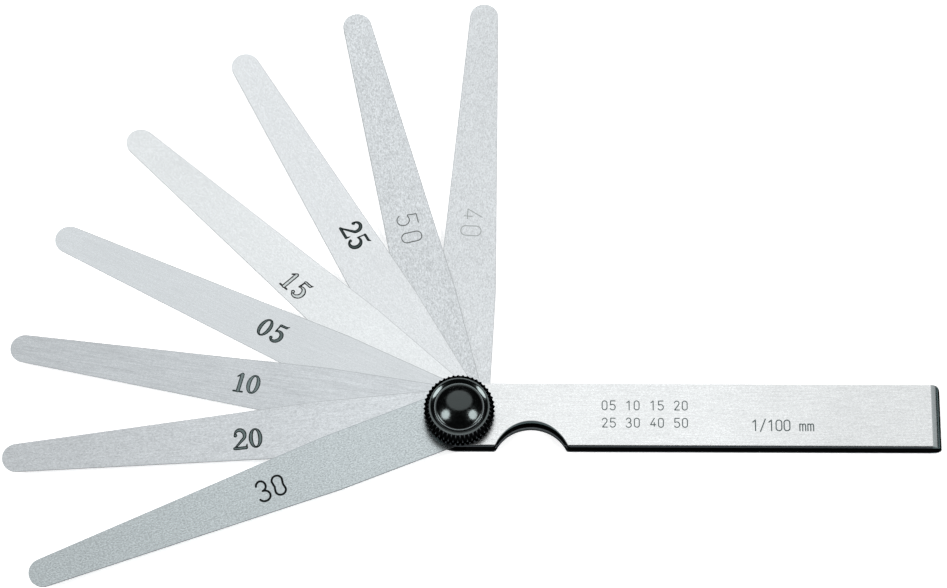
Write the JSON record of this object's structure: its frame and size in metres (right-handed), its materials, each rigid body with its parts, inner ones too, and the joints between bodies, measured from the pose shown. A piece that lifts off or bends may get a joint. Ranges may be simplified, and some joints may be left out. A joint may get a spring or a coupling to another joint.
{
  "type": "feeler gauge",
  "caption": "Leaf feeler gauge with tapered steel leaves fanning out of a folded sheet sheath, clamped by a black knurled nut with a domed cap.",
  "frame": {"origin": "on the pivot axis, in the plane of the sheath's underside", "axes": "+Z along the pivot axis towards the knurled nut, +X from the pivot along the sheath, +Y out of the sheath's open side"},
  "size_m": [0.2047, 0.1394, 0.0104],
  "materials": {
    "sheath_steel": "satin nickel plate, fine brushing along the length",
    "blade_steel": "bright rolled spring steel, fine brushing along the leaf",
    "screw_steel": "turned steel",
    "nut_black": "gloss black, knurled rim",
    "cap_black": "polished gloss black"
  },
  "bodies": {
    "handle": {"sheath": "sheath_steel", "pivot_screw": "screw_steel"},
    "blade_005": {"blade_005": "blade_steel"},
    "blade_010": {"blade_010": "blade_steel"},
    "blade_015": {"blade_015": "blade_steel"},
    "blade_020": {"blade_020": "blade_steel"},
    "blade_025": {"blade_025": "blade_steel"},
    "blade_030": {"blade_030": "blade_steel"},
    "blade_040": {"blade_040": "blade_steel"},
    "blade_050": {"blade_050": "blade_steel"},
    "washer": {"thrust_washer": "screw_steel"},
    "nut": {"knurled_nut": "nut_black", "nut_cap": "cap_black"}
  },
  "joints": [
    {"name": "blade_005_swing", "type": "hinge", "parent": "handle", "child": "blade_005", "pos_m": [0, 0, 0.0022], "axis": [0, 0, 1], "range_deg": [-154.6, 50.4]},
    {"name": "blade_010_swing", "type": "hinge", "parent": "handle", "child": "blade_010", "pos_m": [0, 0, 0.0022], "axis": [0, 0, 1], "range_deg": [-170.9, 34.1]},
    {"name": "blade_015_swing", "type": "hinge", "parent": "handle", "child": "blade_015", "pos_m": [0, 0, 0.0022], "axis": [0, 0, 1], "range_deg": [-137.9, 67.1]},
    {"name": "blade_020_swing", "type": "hinge", "parent": "handle", "child": "blade_020", "pos_m": [0, 0, 0.0022], "axis": [0, 0, 1], "range_deg": [-186, 19]},
    {"name": "blade_025_swing", "type": "hinge", "parent": "handle", "child": "blade_025", "pos_m": [0, 0, 0.0022], "axis": [0, 0, 1], "range_deg": [-120.2, 84.8]},
    {"name": "blade_030_swing", "type": "hinge", "parent": "handle", "child": "blade_030", "pos_m": [0, 0, 0.0022], "axis": [0, 0, 1], "range_deg": [-202.1, 2.9]},
    {"name": "blade_040_swing", "type": "hinge", "parent": "handle", "child": "blade_040", "pos_m": [0, 0, 0.0022], "axis": [0, 0, 1], "range_deg": [-86.9, 118.1]},
    {"name": "blade_050_swing", "type": "hinge", "parent": "handle", "child": "blade_050", "pos_m": [0, 0, 0.0022], "axis": [0, 0, 1], "range_deg": [-104.1, 100.9]},
    {"name": "nut_lift", "type": "slide", "parent": "handle", "child": "washer", "axis": [0, 0, 1], "range_m": [0, 0.0008]},
    {"name": "nut_turn", "type": "hinge", "parent": "washer", "child": "nut", "pos_m": [0, 0, 0.0044], "axis": [0, 0, 1], "range_deg": [0, 360]}
  ],
  "couplings": [
    {"joint": "nut_lift", "follows": "nut_turn", "m_per_rad": 0.0001273}
  ]
}
